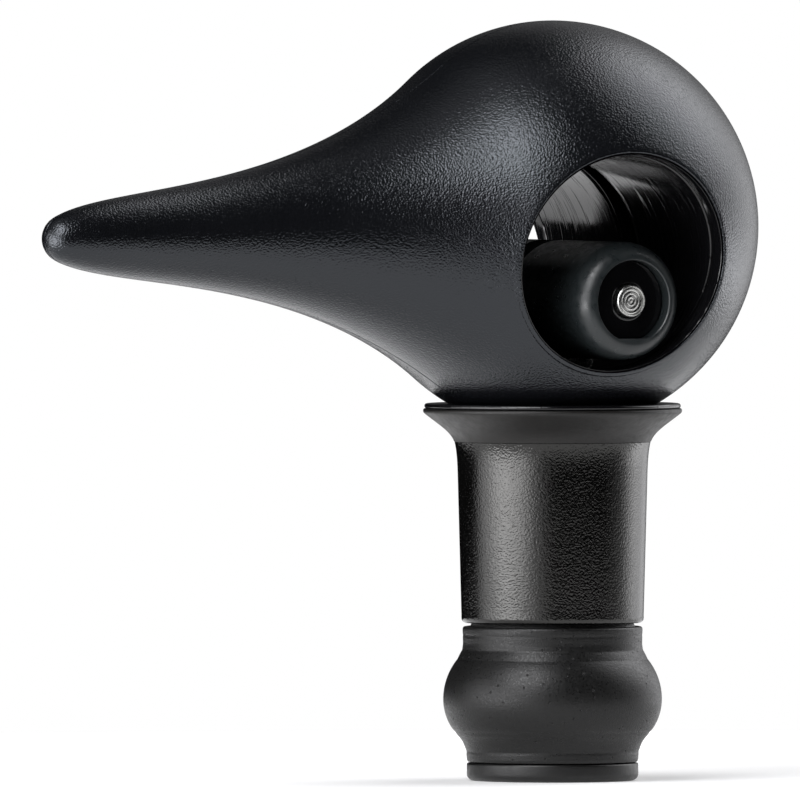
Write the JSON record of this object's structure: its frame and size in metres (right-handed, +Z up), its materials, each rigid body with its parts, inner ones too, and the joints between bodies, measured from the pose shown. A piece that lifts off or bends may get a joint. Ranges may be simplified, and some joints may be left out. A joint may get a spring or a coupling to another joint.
{
  "type": "lever bottle stopper",
  "caption": "Lever bottle stopper: a bird's-head lever turns in a cup and lifts a rod, which squeezes a rubber ring until it bulges and seals the bottle neck.",
  "frame": {"origin": "centre of the flat underside of the pressure disc, at the foot of the stem", "axes": "+Z up the stem, the beak points to -X, and the eye, barrel and lever axis lie along Y"},
  "size_m": [0.0671, 0.0328, 0.0646],
  "materials": {
    "grained_plastic": "fine moulded grain, semi-matt black",
    "sleeve_plastic": "fine moulded grain, semi-matt black",
    "gloss_plastic": "polished black",
    "satin_plastic": "satin black",
    "collar_rubber": "smooth matt",
    "expander_rubber": "matt, with mould lines",
    "disc_plastic": "satin",
    "inner_plastic": "plain",
    "steel": "turned"
  },
  "bodies": {
    "stem": {"sleeve": "sleeve_plastic", "collar_seal": "collar_rubber", "cup_ring": "gloss_plastic", "guide_bush": "inner_plastic", "rod_seal": "expander_rubber", "expander_rubber": "expander_rubber"},
    "plunger": {"pull_rod": "steel", "cross_pin": "steel", "pressure_disc": "disc_plastic", "roller_left": "satin_plastic", "roller_right": "satin_plastic", "roller_core_left": "gloss_plastic", "roller_core_right": "gloss_plastic"},
    "lever": {"shell_left": "grained_plastic", "shell_right": "grained_plastic", "eye_liner_left": "gloss_plastic", "eye_liner_right": "gloss_plastic", "dowel_crown": "steel", "dowel_throat": "steel", "dowel_beak": "steel"}
  },
  "joints": [
    {"name": "lever_turn", "type": "hinge", "parent": "stem", "child": "lever", "pos_m": [0, 0, 0.0471], "axis": [0, 1, 0], "range_deg": [0, 90]},
    {"name": "plunger_lift", "type": "slide", "parent": "stem", "child": "plunger", "axis": [0, 0, 1], "range_m": [0, 0.00535], "deforming": ["expander_rubber"]}
  ],
  "couplings": [
    {"joint": "plunger_lift", "follows": "lever_turn", "m_per_rad": 0.0034}
  ]
}
